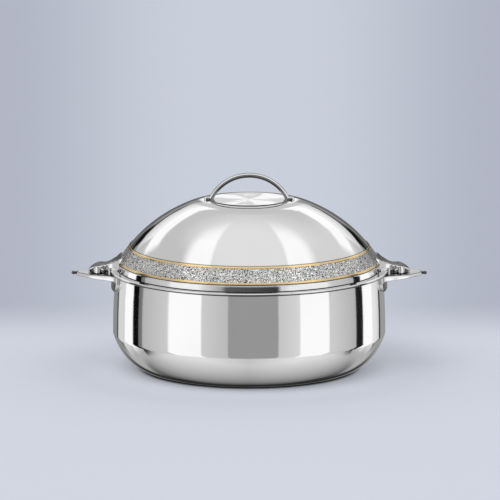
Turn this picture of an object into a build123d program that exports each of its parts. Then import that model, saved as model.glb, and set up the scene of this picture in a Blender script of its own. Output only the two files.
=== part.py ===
from build123d import *
import os
from math import asin, atan2, cos, degrees, radians, sin, sqrt

os.makedirs("parts", exist_ok=True)

# All sizes are in millimetres. Z is up, the base stands on Z = 0 and the pot's axis is the Z axis.
# The handles lie along X. A radius is measured from the pot's axis.

# Sheet steel and fits
sheet = 0.8                    # thickness of every spun or pressed steel shell
seam_clearance = 0.1           # between the flat layers of a rolled seam
nest_clearance = 0.3           # between curved pieces that lie against each other
seat_clearance = 0.15          # between a casting or plate and the shell it is screwed to
hole_clearance = 0.1           # round a screw or rivet, on the radius

# Pot
wall_radius = 137.2            # outside of the wall just under the rim
belly_swell = 2.8              # the belly stands out from the wall by this
belly_height = 37.3            # height of the belly, where the wall bends into the base corner
belly_round = 6.0              # round of that bend
base_radius = 101.0            # outside of the flat foot ring
corner_lean = 26.0             # degrees of its ellipse that the base corner leaves out at the belly
base_recess = 2.0              # depth of the hollow under the base
foot_ring_width = 14.0         # flat ring that the pot stands on
rim_height = 103.6             # top of the rim
rim_overhang = 6.1             # the rim stands out from the wall by this
rim_curl_play = 0.3            # room round the body's flange inside the rolled rim
flange_round = 2.0             # round between the wall and its flange
insulation_gap = 10.6          # foam thickness at the wall
floor_gap = 11.0               # foam thickness under the bowl's floor
bowl_corner = 34.0             # round between the bowl's floor and its wall
mouth_round = 3.0              # round at the bowl's mouth
plug_hole_radius = 8.0         # filling hole in the base
plug_head_overlap = 4.0        # head of the plug beyond its hole
plug_head_height = 1.4
plug_depth = 5.0               # how far the plug reaches above the base sheet

# Lid
rim_ledge = 8.8                # width of rim left open outside the lid
lid_gap = 0.1                  # under the lid where it rests on the rim
dome_drop = 48.4               # centre of the dome's ellipse, below the rim
dome_rise = 127.2              # half height of the dome's ellipse
skirt_height = 5.5             # upright skirt of the dome, from the rim up
skirt_round = 1.5              # round between the dome and its skirt
crown_radius = 64.0            # the dome starts to level out here
handle_seat_margin = 1.1       # flat seat for the lid's handle, beyond the rod's centre line
handle_seat_step = 0.7
lip_width = 5.0                # lip of the dome, turned in under the cover
lip_round = 1.2
cover_edge_gap = 0.5           # between the cover's flange and the skirt
cover_clearance = 1.0          # between the cover's ridge and the bowl's mouth
cover_ridge_depth = 8.0        # ridge below the rim
cover_ridge_round = 3.5
cover_rise = 52.0              # inner dome of the cover
band_gap = 1.1                 # ornamental band, lower edge above the skirt
band_height = 17.1
band_thickness = 0.35

# Wire handle of the lid
rod_radius = 2.5
rod_half_span = 39.2           # rod centre to the pot's axis where it meets its foot
rod_rise = 24.2                # top of the rod's centre line above its foot
foot_length = 8.6
foot_end = 2.9                 # end of the foot beyond its rivet
foot_width = 5.6
foot_thickness = 1.6
rivet_radius = 1.1
rivet_offset = 4.4             # rivet outside the rod's centre line
rivet_head_radius = 1.8
rivet_head_height = 0.9
rivet_tail_radius = 1.8
rivet_tail_height = 1.0
washer_radius = 3.8
washer_thickness = 1.0

# Pot handles
grip_reach = 34.2              # tip of the leaf beyond the rim
grip_root_half_width = 36.0    # where the leaf flares into its saddle
grip_half_width = 23.5         # a little way out
grip_root_depth = 6.0
grip_tip_depth = 3.4
grip_tip_rise = 0.5            # the leaf curves up this much towards its tip
grip_wall = 2.5                # wall and skin of the casting
grip_rib = 2.5
grip_edge_round = 2.0
grip_rim_gap = 0.9             # under the rolled rim
grip_neck_radius = 1.5
grip_neck_length = 3.0         # from the leaf's tip to the middle of the bead
grip_bead_half_length = 2.0
grip_bead_radius = 1.8
saddle_drop = 16.0             # saddle flange, from the top of the grip to its lower edge
saddle_margin = 2.0            # saddle beyond the leaf's root, on each side
saddle_thickness = 3.4
saddle_corner = 12.0
saddle_edge_round = 1.2
grip_screw_spread = 18.0       # screws each side of the handle's middle
grip_screw_radius = 2.0
grip_screw_depth = 7.0         # screw beyond the wall's outside
grip_plate_half_width = 28.0
grip_plate_height = 9.5

# Lid ears
ear_reach = 21.6               # nose of the ear beyond the rim
ear_neck_half_width = 21.0
ear_waist_half_width = 9.8
ear_plate_half_width = 13.5
ear_wall = 2.4
ear_edge_round = 1.6
ear_grip_gap = 0.6             # between the ear and the pot handle under it
ear_rim_gap = 1.6              # between the ear and the rolled rim
ear_screw_spread = 9.5
ear_screw_inset = 2.3          # screws above the lower edge of the backing plate
ear_screw_radius = 1.5
ear_screw_depth = 2.2          # screw beyond the dome's outside
ear_plate_width = 15.0         # half width of the backing plate
ear_plate_gap = 0.6            # lower edge of the backing plate above the skirt
ear_plate_height = 6.8

# Backing plates and screw heads
plate_thickness = 1.5
plate_corner = 3.0
screw_head_ratio = 1.75        # head of a screw, times the radius of its shank
screw_head_height = 2.2
foam_pocket = 0.5              # room round fasteners in the foam

# Places that follow from the sizes above
belly_radius = wall_radius + belly_swell
corner_reach = (belly_radius - base_radius) / cos(radians(corner_lean))
corner_rise = belly_height / (1 - sin(radians(corner_lean)))
rim_radius = wall_radius + rim_overhang
rim_curl = 1.5 * sheet + rim_curl_play
rim_curl_centre = (rim_radius - rim_curl, rim_height - rim_curl)
flange_height = rim_height - 2 * sheet - seam_clearance
wall_top = flange_height - flange_round
wall_bend = ((wall_top - belly_height) ** 2 + belly_swell**2) / (2 * belly_swell)
bowl_radius = wall_radius - 2 * sheet - insulation_gap
bowl_floor = base_recess + 2 * sheet + floor_gap
plug_head_radius = plug_hole_radius + plug_head_overlap
lid_radius = rim_radius - rim_ledge
lid_bottom = rim_height + lid_gap
dome_centre = rim_height - dome_drop
dome_radius = lid_radius / sqrt(1 - ((dome_drop + skirt_height) / dome_rise) ** 2)
handle_seat_radius = rod_half_span + handle_seat_margin
rod_bend = (rod_half_span**2 + rod_rise**2) / (2 * rod_rise)
cover_radius = bowl_radius - cover_clearance
cover_flange_height = lid_bottom + sheet + seam_clearance
cover_flange_edge = lid_radius - sheet - cover_edge_gap
grip_top = rim_height - 2 * rim_curl - grip_rim_gap
foam_inset = sheet + nest_clearance
band_inset = -seam_clearance - band_thickness
band_low = rim_height + skirt_height + band_gap
band_high = band_low + band_height
saddle_half_width = grip_root_half_width + saddle_margin
ear_plate_low = rim_height + skirt_height + ear_plate_gap
ear_plate_high = ear_plate_low + ear_plate_height


def wall_radius_at(height, inset=0):
    """Radius of the pot's wall at a height, this far inside its outer face."""
    return belly_radius - wall_bend + sqrt((wall_bend - inset) ** 2 - (height - belly_height) ** 2)


def dome_height_at(radius, inset=0):
    """Height of the dome's ellipse at a radius, this far inside its outer face."""
    return dome_centre + (dome_rise - inset) * sqrt(1 - (radius / (dome_radius - inset)) ** 2)


def dome_radius_at(height, inset=0):
    """Radius of the dome's ellipse at a height, this far inside its outer face."""
    return (dome_radius - inset) * sqrt(1 - ((height - dome_centre) / (dome_rise - inset)) ** 2)


def dome_slope_at(radius):
    """Fall of the dome per millimetre of radius."""
    return dome_rise / dome_radius * radius / sqrt(dome_radius**2 - radius**2)


crown_fall = atan2(dome_slope_at(crown_radius), 1)
crown_bend = (crown_radius - handle_seat_radius) / sin(crown_fall)
seat_foot_height = dome_height_at(crown_radius) + crown_bend * (1 - cos(crown_fall))
seat_height = seat_foot_height + handle_seat_step


def crown_height_at(radius):
    """Height of the levelled crown between the handle seat and the dome's ellipse."""
    return seat_foot_height - crown_bend + sqrt(crown_bend**2 - (radius - handle_seat_radius) ** 2)


def wall_strip(low, high, inset, thickness):
    """Closed strip along the pot's wall in section, from its outer side inwards."""
    middle = (low + high) / 2
    sides = []
    for depth in (inset, inset + thickness):
        heights = (low, middle, high)
        sides.append(ThreePointArc(*((wall_radius_at(height, depth), height) for height in heights)))
    Line(sides[0] @ 0, sides[1] @ 0)
    Line(sides[0] @ 1, sides[1] @ 1)


def dome_side(low, high, inset=0):
    """Ellipse of the dome in section, from a height down to a lower one."""
    start = degrees(asin((high - dome_centre) / (dome_rise - inset)))
    end = degrees(asin((low - dome_centre) / (dome_rise - inset)))
    return EllipticalCenterArc(
        (0, dome_centre), dome_radius - inset, dome_rise - inset, start_angle=start, arc_size=end - start
    )


def dome_strip(low, high, inset, thickness):
    """Closed strip along the dome in section, from its outer side inwards."""
    outside = dome_side(low, high, inset)
    inside = dome_side(low, high, inset + thickness)
    Line(outside @ 0, inside @ 0)
    Line(outside @ 1, inside @ 1)


def outer_body_line(inset=0):
    """Outer body in section, from the foot ring to the top of the wall."""
    corner = EllipticalCenterArc(
        (base_radius, corner_rise),
        corner_reach - inset,
        corner_rise - inset,
        start_angle=270,
        arc_size=90 - corner_lean,
    )
    wall = TangentArc(corner @ 1, (wall_radius_at(wall_top, inset), wall_top), tangent=(0, 1))
    return corner, wall


def bowl_line(inset=0):
    """Inner bowl in section, from the axis round its mouth. Inset grows it outwards, into the foam."""
    floor = Line((0, bowl_floor - inset), (bowl_radius - bowl_corner, bowl_floor - inset))
    corner = JernArc(floor @ 1, (1, 0), bowl_corner + inset, 90)
    wall = Line(corner @ 1, (bowl_radius + inset, rim_height - mouth_round))
    mouth = JernArc(wall @ 1, (0, 1), mouth_round - inset, -90)
    return floor, mouth


def dome_line(end_height, inset=0):
    """Dome in section, from the axis over the handle seat and down its upright skirt to a height."""
    seat = Line((0, seat_height - inset), (handle_seat_radius - 1 - inset / 2, seat_height - inset))
    step = Line(seat @ 1, (handle_seat_radius, seat_foot_height - inset))
    crown_end = crown_radius - inset * sin(crown_fall)
    crown = TangentArc(step @ 1, (crown_end, dome_height_at(crown_end, inset)), tangent=(1, 0))
    side = dome_side(dome_height_at(lid_radius - inset, inset), (crown @ 1).Y, inset)
    skirt = Line(side @ 1, (lid_radius - inset, end_height))
    return seat, skirt


def cover_line(inset=0):
    """Lid's inner cover in section, from the axis over its dome and round the ridge to its flange."""
    ridge_centre_height = rim_height - cover_ridge_depth + cover_ridge_round
    ridge_inside = cover_radius - 2 * cover_ridge_round
    dome = EllipticalCenterArc(
        (0, ridge_centre_height), ridge_inside + inset, cover_rise + inset, start_angle=90, arc_size=-90
    )
    ridge = JernArc(dome @ 1, (0, -1), cover_ridge_round - inset, 180)
    wall = Line(ridge @ 1, (cover_radius - inset, cover_flange_height - lip_round))
    flange_bend = JernArc(wall @ 1, (0, 1), lip_round + inset, -90)
    return dome, flange_bend


def wall_plane(side, spread, height):
    """Plane on the pot's wall that faces outwards, on one side and off the handle's middle."""
    radius = wall_radius_at(height)
    slope = (height - belly_height) / sqrt(wall_bend**2 - (height - belly_height) ** 2)
    outwards = Vector(side * sqrt(radius**2 - spread**2), spread, 0)
    return Plane(origin=outwards + Vector(0, 0, height), z_dir=outwards + Vector(0, 0, radius * slope))


def dome_plane(side, spread, height):
    """Plane on the lid's dome that faces outwards, on one side and off the ear's middle."""
    radius = dome_radius_at(height)
    slope = dome_slope_at(radius)
    outwards = Vector(side * sqrt(radius**2 - spread**2), spread, 0)
    return Plane(origin=outwards + Vector(0, 0, height), z_dir=outwards * (slope / radius) + Vector(0, 0, 1))


def crown_plane(side, radius):
    """Plane on the levelled crown that faces outwards, on one side."""
    fall = asin((radius - handle_seat_radius) / crown_bend)
    return Plane(
        origin=(side * radius, 0, crown_height_at(radius)),
        x_dir=(cos(fall), 0, -side * sin(fall)),
        z_dir=(side * sin(fall), 0, cos(fall)),
    )


def peg(plane, radius, start, end, mode=Mode.ADD):
    """Round peg or hole along a plane's facing, from one distance to another."""
    with Locations(plane.offset(start)):
        Cylinder(radius, end - start, align=(Align.CENTER, Align.CENTER, Align.MIN), mode=mode)


def screws(planes, radius, depth):
    """Screws that stand on their backing plate inside a shell and reach out through it."""
    for plane in planes:
        peg(plane, radius * screw_head_ratio, screw_seat - screw_head_height, screw_seat)
        peg(plane, radius, screw_seat, depth)


def screw_holes(planes, radius, depth):
    """Holes for those screws, this far out from the shell's outside."""
    for plane in planes:
        peg(plane, radius + hole_clearance, screw_seat - 1, depth, Mode.SUBTRACT)


def screw_pockets(planes, radius):
    """Room in the foam for the heads of those screws."""
    depth = screw_seat - screw_head_height - foam_pocket
    for plane in planes:
        peg(plane, radius * screw_head_ratio + foam_pocket, depth, 0, Mode.SUBTRACT)


screw_seat = -sheet - 2 * seat_clearance - plate_thickness
grip_screw_height = grip_top - grip_root_depth / 2
grip_screw_planes = {
    side: [wall_plane(side, spread, grip_screw_height) for spread in (-grip_screw_spread, grip_screw_spread)]
    for side in (1, -1)
}
ear_screw_height = ear_plate_low + ear_screw_inset
ear_screw_planes = {
    side: [dome_plane(side, spread, ear_screw_height) for spread in (-ear_screw_spread, ear_screw_spread)]
    for side in (1, -1)
}
rivet_planes = [crown_plane(side, rod_half_span + rivet_offset) for side in (1, -1)]
washer_top = -sheet - nest_clearance
washer_bottom = washer_top - washer_thickness
foot_top = seat_clearance + foot_thickness


# Pot: outer body with its foot ring, belly, wall and the flange inside the rolled rim

def outer_body_side(inset=0):
    """Outer body in section, from the axis over its foot ring and up to its flange."""
    hollow_edge = base_radius - foot_ring_width - base_recess
    hollow = Line((0, base_recess + inset), (hollow_edge, base_recess + inset))
    step_top = JernArc(hollow @ 1, (1, 0), base_recess / 2 + inset, -90)
    step_foot = JernArc(step_top @ 1, (0, -1), base_recess / 2 - inset, 90)
    Line(step_foot @ 1, (base_radius, inset))
    wall = outer_body_line(inset)[1]
    bend = RadiusArc(wall @ 1, (wall_radius + flange_round, flange_height + inset), flange_round + inset)
    flange = Line(bend @ 1, (rim_curl_centre[0] - sheet / 2, flange_height + inset))
    return hollow, flange


with BuildPart() as outer_body:
    with BuildSketch(Plane.XZ) as body_section:
        with BuildLine():
            outside_hollow, outside_flange = outer_body_side()
            inside_hollow, inside_flange = outer_body_side(sheet)
            Line(outside_hollow @ 0, inside_hollow @ 0)
            Line(outside_flange @ 1, inside_flange @ 1)
        make_face()
        belly_corners = body_section.vertices().sort_by_distance((belly_radius, belly_height))
        fillet(belly_corners[0], belly_round)
        fillet(belly_corners[1], belly_round - sheet)
    revolve(axis=Axis.Z)
    peg(Plane.XY, plug_hole_radius, 0, base_recess + 2 * sheet, Mode.SUBTRACT)
    for side in (1, -1):
        screw_holes(grip_screw_planes[side], grip_screw_radius, 2 * sheet)

# Pot: inner bowl, with its flange curled over the outer body's flange as the rolled rim

with BuildPart() as inner_bowl:
    with BuildSketch(Plane.XZ):
        with BuildLine():
            bowl_floor_line, mouth = bowl_line()
            flange = Line(mouth @ 1, (rim_curl_centre[0], rim_height))
            JernArc(flange @ 1, (1, 0), rim_curl, -235)
            offset(amount=sheet, side=Side.RIGHT)
        make_face()
    revolve(axis=Axis.Z)



def grip_backing_plate(room=0):
    """Backing plate behind a pot handle, or grown by the room that its pocket in the foam has."""
    low = grip_top - grip_plate_height - room
    high = grip_top + room
    with BuildPart() as plate:
        with BuildSketch(Plane.XZ):
            with BuildLine():
                wall_strip(low, high, sheet + seat_clearance - room, plate_thickness + 2 * room)
            make_face()
        revolve(axis=Axis.Z)
        with BuildSketch(Plane.YZ):
            with Locations((0, (low + high) / 2)):
                RectangleRounded(2 * (grip_plate_half_width + room), high - low, plate_corner)
        extrude(amount=2 * wall_radius, mode=Mode.INTERSECT)
    return plate.part


# Pot: what holds a handle from inside the wall

grip_plate_blank = grip_backing_plate()
grip_plate_pocket = grip_backing_plate(foam_pocket)

with BuildPart() as pot_handle_backing_plate:
    add(grip_plate_blank)
    screw_holes(grip_screw_planes[1], grip_screw_radius, 0)

with BuildPart() as pot_handle_screws:
    screws(grip_screw_planes[1], grip_screw_radius, grip_screw_depth)

# Pot: foam between the two shells, with pockets for the plug and for the handles' fasteners

with BuildPart() as pot_insulation:
    with BuildSketch(Plane.XZ):
        with BuildLine():
            inside_floor, inside_mouth = bowl_line(foam_inset)
            outside_corner, outside_wall = outer_body_line(foam_inset)
            Polyline(inside_mouth @ 1, ((outside_wall @ 1).X, (inside_mouth @ 1).Y), outside_wall @ 1)
            foot_inside = base_radius - foot_ring_width
            Polyline(
                outside_corner @ 0,
                (foot_inside + foam_inset, foam_inset),
                (foot_inside - base_recess + foam_inset, base_recess + foam_inset),
                (0, base_recess + foam_inset),
                inside_floor @ 0,
            )
        make_face()
    revolve(axis=Axis.Z)
    peg(Plane.XY, plug_hole_radius + foam_pocket, 0, base_recess + plug_depth + foam_pocket, Mode.SUBTRACT)
    add(grip_plate_pocket, mode=Mode.SUBTRACT)
    mirror(grip_plate_pocket, about=Plane.YZ, mode=Mode.SUBTRACT)
    for side in (1, -1):
        screw_pockets(grip_screw_planes[side], grip_screw_radius)

# Pot: plug of the foam's filling hole

with BuildPart() as foam_filling_plug:
    peg(Plane.XY, plug_head_radius, base_recess - plug_head_height, base_recess)
    chamfer(foam_filling_plug.edges().sort_by(Axis.Z)[0], plug_head_height / 2)
    peg(Plane.XY, plug_hole_radius - hole_clearance, base_recess, base_recess + plug_depth)
    chamfer(foam_filling_plug.edges().sort_by(Axis.Z)[-1], plug_head_height / 2)

# Pot handle, a hollow casting: leaf with a bead at its tip, and the saddle that lies on the wall


def grip_curve(inset=0):
    """Half of the leaf in plan, from its flared root to its blunt tip."""
    return Spline(
        (wall_radius - 4, grip_root_half_width - inset),
        (rim_radius + 1.5, (grip_root_half_width + grip_half_width) / 2 - 3 - inset),
        (rim_radius + 10, grip_half_width - inset),
        (rim_radius + grip_reach * 0.61, grip_half_width * 0.74 - inset),
        (rim_radius + grip_reach * 0.9, grip_half_width * 0.38 - inset),
        (rim_radius + grip_reach - inset, 0),
        tangents=((1, -1.5), (0, -1)),
    )


with BuildPart() as grip_saddle:
    with BuildSketch(Plane.XZ):
        with BuildLine():
            wall_strip(grip_top - saddle_drop, grip_top, -seat_clearance - saddle_thickness, saddle_thickness)
        make_face()
    revolve(axis=Axis.Z)
    with BuildSketch(Plane.YZ) as saddle_outline:
        with Locations((0, grip_top - saddle_drop / 2)):
            Rectangle(2 * saddle_half_width, saddle_drop)
        fillet(saddle_outline.vertices().group_by(Axis.Y)[0], saddle_corner)
    extrude(amount=2 * wall_radius, mode=Mode.INTERSECT)
    outer_rim = grip_saddle.faces().sort_by(lambda face: face.center().X)[-1].edges()
    fillet(outer_rim.filter_by(lambda edge: edge.center().Z < grip_top - 1), saddle_edge_round)

with BuildPart() as grip_core:
    with BuildSketch(Plane.XY.offset(grip_top - saddle_drop)):
        with BuildLine():
            core_curve = grip_curve(grip_wall)
            Line(core_curve @ 1, ((core_curve @ 0).X, 0))
            Line(core_curve @ 0, ((core_curve @ 0).X, 0))
        make_face()
    extrude(amount=saddle_drop - grip_wall)
    root_length = wall_radius + grip_screw_depth + grip_wall
    with Locations((root_length / 2, 0, grip_top)):
        Box(root_length, 2 * grip_root_half_width, 2 * saddle_drop, mode=Mode.SUBTRACT)
    with Locations((rim_radius, 0, grip_top)):
        Box(2 * grip_reach, grip_rib, 2 * saddle_drop, mode=Mode.SUBTRACT)

with BuildPart() as pot_handle:
    with BuildSketch(Plane.XZ.offset(grip_root_half_width)):
        with BuildLine():
            tip = rim_radius + grip_reach + 1
            root = wall_radius - 4
            upper = Spline((root, grip_top), (tip, grip_top + grip_tip_rise), tangents=((1, 0), (1, 0.08)))
            lower_tip = (tip, grip_top + grip_tip_rise - grip_tip_depth)
            Polyline(upper @ 1, lower_tip, (root, grip_top - grip_root_depth), upper @ 0)
        make_face()
    extrude(amount=-2 * grip_root_half_width)
    with BuildSketch(Plane.XY.offset(grip_top - saddle_drop)):
        with BuildLine():
            plan = grip_curve()
            Line(plan @ 0, ((plan @ 0).X, 0))
            mirror(about=Plane.XZ)
        make_face()
    extrude(amount=2 * saddle_drop, mode=Mode.INTERSECT)
    for end, edge_round in ((-1, grip_edge_round), (0, grip_edge_round / 2)):
        rims = pot_handle.edges().filter_by(lambda edge: edge.length > 2 * grip_reach)
        rims = rims.filter_by(GeomType.LINE, reverse=True)
        fillet(rims.sort_by(Axis.Z)[end], edge_round)
    add(grip_core.part, mode=Mode.SUBTRACT)
    mirror(grip_core.part, about=Plane.XZ, mode=Mode.SUBTRACT)
    with BuildSketch(Plane.XZ):
        with BuildLine():
            wall_strip(grip_top - saddle_drop, grip_top + 2, -seat_clearance - 1, wall_radius / 2)
        make_face()
    revolve(axis=Axis.Z, mode=Mode.SUBTRACT)
    add(grip_saddle.part)
    bead_height = grip_top + grip_tip_rise - grip_tip_depth / 2
    bead_middle = rim_radius + grip_reach + grip_neck_length
    with BuildSketch(Plane.XZ):
        with Locations((bead_middle, bead_height)):
            Ellipse(grip_bead_half_length, grip_bead_radius)
            Rectangle(2 * grip_neck_length, 2 * grip_neck_radius, align=(Align.MAX, Align.CENTER))
            with Locations((0, -grip_bead_radius)):
                Rectangle(6 * grip_neck_length, 2 * grip_bead_radius, mode=Mode.SUBTRACT)
    revolve(axis=Axis((0, 0, bead_height), (1, 0, 0)))
    screw_holes(grip_screw_planes[1], grip_screw_radius, grip_screw_depth + foam_pocket)

# Lid: dome, with the lip turned in under the cover's flange

with BuildPart() as lid_dome:
    with BuildSketch(Plane.XZ) as dome_section:
        with BuildLine():
            over_top, over_skirt = dome_line(lid_bottom)
            under_top, under_skirt = dome_line(lid_bottom + sheet, sheet)
            lip_end = lid_radius - lip_width
            Polyline(over_skirt @ 1, (lip_end, lid_bottom), (lip_end, lid_bottom + sheet), under_skirt @ 1)
            Line(over_top @ 0, under_top @ 0)
        make_face()
        for skirt, inset in ((over_skirt, 0), (under_skirt, sheet)):
            fillet(dome_section.vertices().sort_by_distance(skirt @ 0)[0], skirt_round - inset)
            fillet(dome_section.vertices().sort_by_distance(skirt @ 1)[0], lip_round - inset)
    revolve(axis=Axis.Z)
    for plane in rivet_planes:
        peg(plane, rivet_radius + hole_clearance, -2 * sheet, sheet, Mode.SUBTRACT)
    for side in (1, -1):
        screw_holes(ear_screw_planes[side], ear_screw_radius, sheet)

# Lid: inner cover, with the ridge that centres the lid in the bowl's mouth

with BuildPart() as lid_inner_cover:
    with BuildSketch(Plane.XZ):
        with BuildLine():
            cover_face, face_bend = cover_line()
            cover_back, back_bend = cover_line(sheet)
            Polyline(
                face_bend @ 1,
                (cover_flange_edge, cover_flange_height),
                (cover_flange_edge, cover_flange_height + sheet),
                back_bend @ 1,
            )
            Line(cover_face @ 0, cover_back @ 0)
        make_face()
    revolve(axis=Axis.Z)



def ear_backing_plate(room=0):
    """Backing plate behind a lid ear, or grown by the room that its pocket in the foam has."""
    low = ear_plate_low - room
    high = ear_plate_high + room
    with BuildPart() as plate:
        with BuildSketch(Plane.XZ):
            with BuildLine():
                dome_strip(low, high, sheet + seat_clearance - room, plate_thickness + 2 * room)
            make_face()
        revolve(axis=Axis.Z)
        with BuildSketch(Plane.YZ):
            with Locations((0, (low + high) / 2)):
                RectangleRounded(2 * (ear_plate_width + room), high - low, plate_corner)
        extrude(amount=2 * wall_radius, mode=Mode.INTERSECT)
    return plate.part


# Lid: what holds an ear from inside the dome

ear_plate_blank = ear_backing_plate()
ear_plate_pocket = ear_backing_plate(foam_pocket)

with BuildPart() as lid_ear_backing_plate:
    add(ear_plate_blank)
    screw_holes(ear_screw_planes[1], ear_screw_radius, 0)

with BuildPart() as lid_ear_screws:
    screws(ear_screw_planes[1], ear_screw_radius, ear_screw_depth)

# Lid: foam between the dome and the cover, with pockets for the fasteners

with BuildPart() as lid_insulation:
    with BuildSketch(Plane.XZ):
        with BuildLine():
            under_dome, under_edge = dome_line(cover_flange_height + foam_inset, foam_inset)
            over_dome, over_bend = cover_line(foam_inset)
            Line(under_edge @ 1, over_bend @ 1)
            Line(under_dome @ 0, over_dome @ 0)
        make_face()
    revolve(axis=Axis.Z)
    add(ear_plate_pocket, mode=Mode.SUBTRACT)
    mirror(ear_plate_pocket, about=Plane.YZ, mode=Mode.SUBTRACT)
    for side in (1, -1):
        screw_pockets(ear_screw_planes[side], ear_screw_radius)
    for plane in rivet_planes:
        tail_end = washer_bottom - rivet_tail_height - foam_pocket
        peg(plane, washer_radius + foam_pocket, tail_end, 0, Mode.SUBTRACT)

# Lid: ornamental band, a foil strip round the lower part of the dome

with BuildPart() as decor_band:
    with BuildSketch(Plane.XZ):
        with BuildLine():
            dome_strip(band_low, band_high, band_inset, band_thickness)
        make_face()
    revolve(axis=Axis.Z)
    for side in (1, -1):
        screw_holes(ear_screw_planes[side], ear_screw_radius, ear_screw_depth)

# Space that the dome fills, with a little room, which the pieces that stand on it are cut back to

with BuildPart() as dome_room:
    with BuildSketch(Plane.XZ):
        with BuildLine():
            room_top, room_skirt = dome_line(lid_bottom, -seat_clearance)
            Polyline(room_skirt @ 1, (0, lid_bottom), room_top @ 0)
        make_face()
    revolve(axis=Axis.Z)

# Lid: wire handle, a bent rod with flattened feet turned outwards

with BuildPart() as lid_handle:
    with BuildLine(Plane.XZ) as rod_path:
        foot_height = seat_foot_height + seat_clearance + foot_thickness / 2
        rod_centre_height = foot_height - sqrt(rod_bend**2 - rod_half_span**2)
        rod_start = degrees(asin((foot_height - rod_centre_height) / rod_bend))
        CenterArc((0, rod_centre_height), rod_bend, rod_start, 180 - 2 * rod_start)
    with BuildSketch(Plane(origin=rod_path.line @ 0, z_dir=rod_path.line % 0)):
        Circle(rod_radius)
    sweep()
    for side, plane in zip((1, -1), rivet_planes):
        with BuildSketch(plane.offset(seat_clearance)):
            with Locations(((foot_end - foot_length / 2) * side, 0)):
                SlotOverall(foot_length, foot_width)
        extrude(amount=foot_thickness)
    add(dome_room.part, mode=Mode.SUBTRACT)
    for plane in rivet_planes:
        peg(plane, rivet_radius + hole_clearance, -sheet, foot_top + sheet, Mode.SUBTRACT)

with BuildPart() as lid_handle_rivets:
    for plane in rivet_planes:
        peg(plane, rivet_head_radius, foot_top, foot_top + rivet_head_height)
        peg(plane, rivet_radius, washer_bottom, foot_top)
        peg(plane, rivet_tail_radius, washer_bottom - rivet_tail_height, washer_bottom)

with BuildPart() as lid_handle_washers:
    for plane in rivet_planes:
        peg(plane, washer_radius, washer_bottom, washer_top)
        peg(plane, rivet_radius + hole_clearance, washer_bottom, washer_top, Mode.SUBTRACT)

# Lid ear, a hollow casting: neck on the dome, bridge over the rim, thumb plate over the pot handle


def ear_curve(inset=0):
    """Half of the ear in plan, from its nose over the thumb plate and waist to its neck."""
    return Spline(
        (rim_radius + ear_reach - inset, 0),
        (rim_radius + ear_reach - 3, ear_plate_half_width / 2 - inset),
        (rim_radius + ear_reach * 0.55, ear_plate_half_width - inset),
        (rim_radius + ear_rim_gap + 1.6, ear_waist_half_width - inset),
        (lid_radius + 2.1, ear_neck_half_width * 0.72 - inset),
        (lid_radius - 6.9, ear_neck_half_width - inset),
        tangents=((0, 1), (-1, 0.35)),
    )


def ear_profile(inset=0):
    """Top of the ear from the side, from inside the dome down to its nose."""
    return Spline(
        (lid_radius - 5.4, rim_height + 14 - inset),
        (lid_radius + 1.8, rim_height + 9.7 - inset),
        (rim_radius + 2.5, rim_height + 5.3 - inset),
        (rim_radius + 12, rim_height + 4.1 - inset),
        (rim_radius + ear_reach - 3.5 - inset, rim_height + 1.6 - inset / 2),
        (rim_radius + ear_reach - inset, grip_top + ear_grip_gap),
        tangents=((1, -0.5), (0, -1)),
    )


def ear_solid(inset=0):
    """Ear as a solid form, or smaller by an inset all round but at its open bottom."""
    with BuildPart() as form:
        with BuildSketch(Plane.XZ.offset(2 * ear_neck_half_width)):
            with BuildLine():
                top = ear_profile(inset)
                Polyline(top @ 1, ((top @ 0).X, (top @ 1).Y), top @ 0)
            make_face()
        extrude(amount=-4 * ear_neck_half_width)
        with BuildSketch(Plane.XY.offset(grip_top)):
            with BuildLine():
                plan = ear_curve(inset)
                Line(plan @ 1, ((plan @ 1).X, 0))
                mirror(about=Plane.XZ)
            make_face()
        extrude(amount=2 * ear_reach, mode=Mode.INTERSECT)
    return form.part


ear_form = ear_solid()

with BuildPart() as ear_core:
    add(ear_solid(ear_wall))
    core_start = rim_radius + ear_rim_gap + ear_wall
    with Locations((core_start + ear_reach, 0, rim_height)):
        Box(2 * ear_reach, 2 * ear_reach, 2 * ear_reach, mode=Mode.INTERSECT)

with BuildPart() as lid_ear:
    add(ear_form)
    rims = lid_ear.edges().filter_by(lambda edge: edge.length > 1.5 * ear_reach)
    fillet(rims.filter_by(lambda edge: edge.center().Z > rim_height), ear_edge_round)
    add(ear_core.part, mode=Mode.SUBTRACT)
    with Locations((0, 0, rim_height + ear_rim_gap)):
        over_rim = rim_radius + ear_rim_gap
        Cylinder(over_rim, rim_height, align=(Align.CENTER, Align.CENTER, Align.MAX), mode=Mode.SUBTRACT)
    add(dome_room.part, mode=Mode.SUBTRACT)
    with BuildSketch(Plane.XZ):
        with BuildLine():
            dome_strip(
                band_low - nest_clearance,
                band_high + nest_clearance,
                band_inset - nest_clearance,
                2 * sheet,
            )
        make_face()
    revolve(axis=Axis.Z, mode=Mode.SUBTRACT)
    screw_holes(ear_screw_planes[1], ear_screw_radius, ear_screw_depth + foam_pocket)

# The pieces on the left are the mirror of those on the right


def mirrored(right):
    """Mirror of a piece about the plane between the two handles."""
    with BuildPart() as left:
        add(right.part)
        mirror(about=Plane.YZ, mode=Mode.REPLACE)
    return left


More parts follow.
